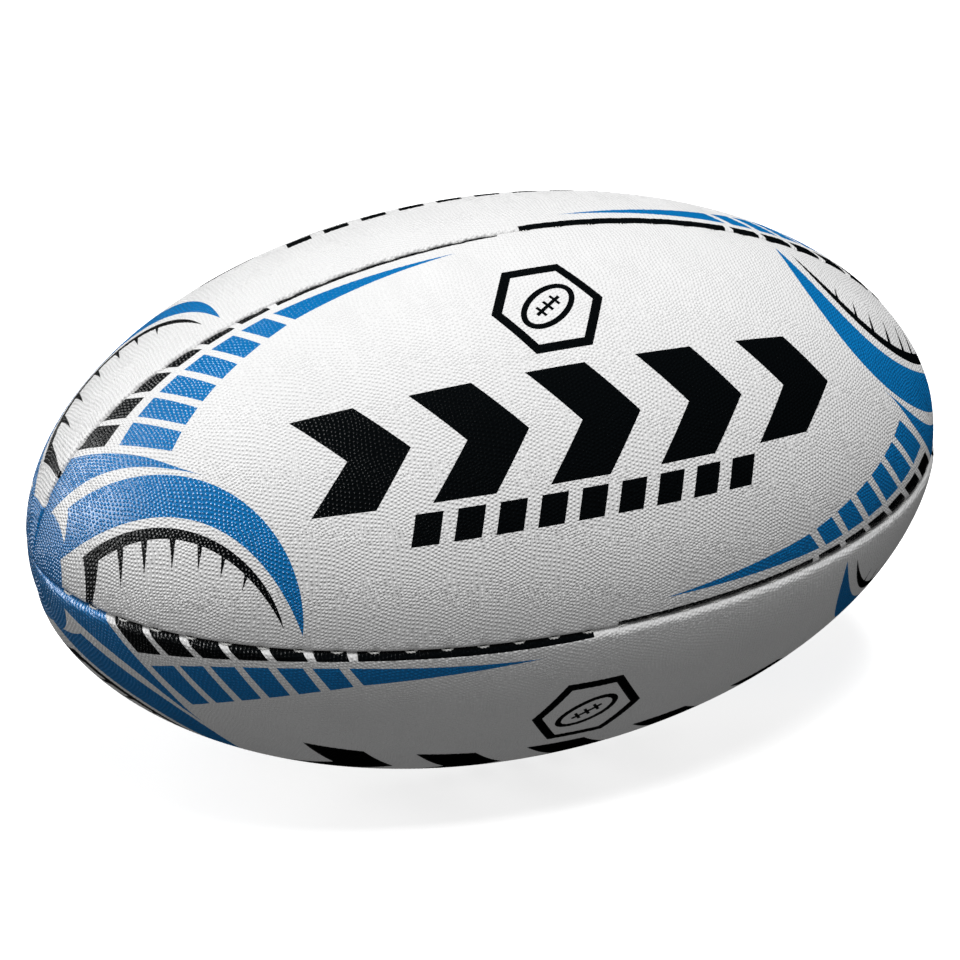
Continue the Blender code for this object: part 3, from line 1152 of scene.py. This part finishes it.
# Both profiles start at the mouth, go out over the top, down the outside and back up the bore.
housing_profile = [
    *fillet((3.3, -0.6), (3.3, -0.75), (3.45, -0.6)),
    *fillet((4.1, -0.6), (3.85, -0.6), (4.1, -0.85)),
    (4.1, -9.0),
    (8.5, -9.0),
    (8.5, -9.8),
    (4.0, -10.4),
    (3.4, -16.5),
    (1.4, -16.5),
    (1.4, -15.5),
    (2.3, -15.0),
    (2.3, -2.2),
    (3.3, -2.2),
]
plug_profile = [
    *fillet((0.55, -0.8), (0.55, -1.3), (1.05, -0.95)),
    (1.4, -0.8),
    *fillet((3.0, -0.8), (2.75, -0.8), (3.0, -1.05)),
    (3.0, -1.9),
    (2.0, -1.9),
    (2.0, -14.6),
    (0.55, -14.6),
]
valve_black = moulded("valve_rubber_grain", (0.014, 0.014, 0.016), 0.5, 4000.0)
plug_grey = moulded("plug_rubber_grain", (0.035, 0.036, 0.04), 0.45, 4000.0)
for piece_name, profile, look, slot_name in (
    ("valve_housing", housing_profile, valve_black, "valve_rubber"),
    ("valve_plug", plug_profile, plug_grey, "plug_rubber"),
):
    piece = turned(f"{piece_name}_look", profile, valve_frame)
    piece.data.materials.append(look)
    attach(piece, "root")
    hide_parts(piece_name)

cloth = woven("polycotton_weave", (0.60, 0.55, 0.45), 1600.0, 0.95)
canvas = woven("canvas_weave", (0.30, 0.28, 0.23), 900.0, 0.95)
butyl = moulded("butyl", (0.012, 0.012, 0.013), 0.5, 2500.0)
looks = {
    "backing_ply": cloth,
    "valve_patch": canvas,
    "bladder": butyl,
}
for node_name, node in frame["nodes"].items():
    for start, look in looks.items():
        if node_name.startswith(start):
            for material_slot in node.material_slots:
                material_slot.material = look

# The floor, light and camera.
bpy.ops.mesh.primitive_plane_add(size=40, location=(0, 0, cad_box[0].z))
floor = bpy.context.object
floor.name = "floor"
floor.data.materials.append(painted_floor("floor_paint"))

AMBIENT = 0.205
BACKDROP = 0.9


def studio_world():
    """Even pale light all round, and a white backdrop where the camera sees past the floor."""
    world = bpy.data.worlds.new("studio")
    world.use_nodes = True
    nodes, links = world.node_tree.nodes, world.node_tree.links
    even = nodes["Background"]
    even.inputs["Strength"].default_value = AMBIENT
    backdrop = nodes.new("ShaderNodeBackground")
    backdrop.inputs["Strength"].default_value = BACKDROP
    for background in (even, backdrop):
        background.inputs["Color"].default_value = (1, 1, 1, 1)
    path = nodes.new("ShaderNodeLightPath")
    mix = nodes.new("ShaderNodeMixShader")
    links.new(path.outputs["Is Camera Ray"], mix.inputs[0])
    links.new(even.outputs[0], mix.inputs[1])
    links.new(backdrop.outputs[0], mix.inputs[2])
    links.new(mix.outputs[0], nodes["World Output"].inputs["Surface"])
    bpy.context.scene.world = world
    world.cycles_visibility.glossy = False


def direction(azimuth, elevation):
    """The unit vector towards this azimuth, which is 0 at -Y and grows towards +X, in degrees."""
    a, e = math.radians(azimuth), math.radians(elevation)
    return Vector((math.sin(a) * math.cos(e), -math.cos(a) * math.cos(e), math.sin(e)))


def softbox(name, azimuth, elevation, distance, size, power):
    """An area lamp that faces the middle of the ball. Its size is its width and its height."""
    lamp = bpy.data.lights.new(name, "AREA")
    lamp.shape = "RECTANGLE"
    lamp.size, lamp.size_y = size
    lamp.energy = power
    obj = bpy.data.objects.new(name, lamp)
    towards = direction(azimuth, elevation)
    obj.location = towards * distance
    obj.rotation_mode = "QUATERNION"
    obj.rotation_quaternion = towards.to_track_quat("Z", "Y")
    bpy.context.scene.collection.objects.link(obj)
    return obj


studio_world()
bpy.context.scene.view_settings.view_transform = "Standard"
floor.visible_diffuse = False
floor.visible_glossy = False
key = softbox("key", -15, 75.5, 4.0, (1.8, 1.8), 167)
fill = softbox("left_fill", -98, 40, 1.6, (0.7, 1.2), 4)
sheen = softbox("left_sheen", -111, 13, 1.6, (1.2, 0.7), 58)
sheen.visible_diffuse = False
key.visible_glossy = False
fill.visible_glossy = False

CAMERA_AZIMUTH = -22.71
CAMERA_ELEVATION = 25.47
CAMERA_DISTANCE = 1.191
FOCAL_LENGTH = 141.78
SENSOR_WIDTH = 36
SHIFT_X, SHIFT_Y = -0.01316, -0.00287
camera_back = direction(CAMERA_AZIMUTH, CAMERA_ELEVATION)
lens = bpy.data.cameras.new("camera")
lens.lens = FOCAL_LENGTH
lens.sensor_width = SENSOR_WIDTH
lens.shift_x = SHIFT_X
lens.shift_y = SHIFT_Y
camera = bpy.data.objects.new("camera", lens)
camera.location = camera_back * CAMERA_DISTANCE
camera.rotation_mode = "QUATERNION"
camera.rotation_quaternion = (-camera_back).to_track_quat("-Z", "Y")
bpy.context.scene.collection.objects.link(camera)
bpy.context.scene.camera = camera
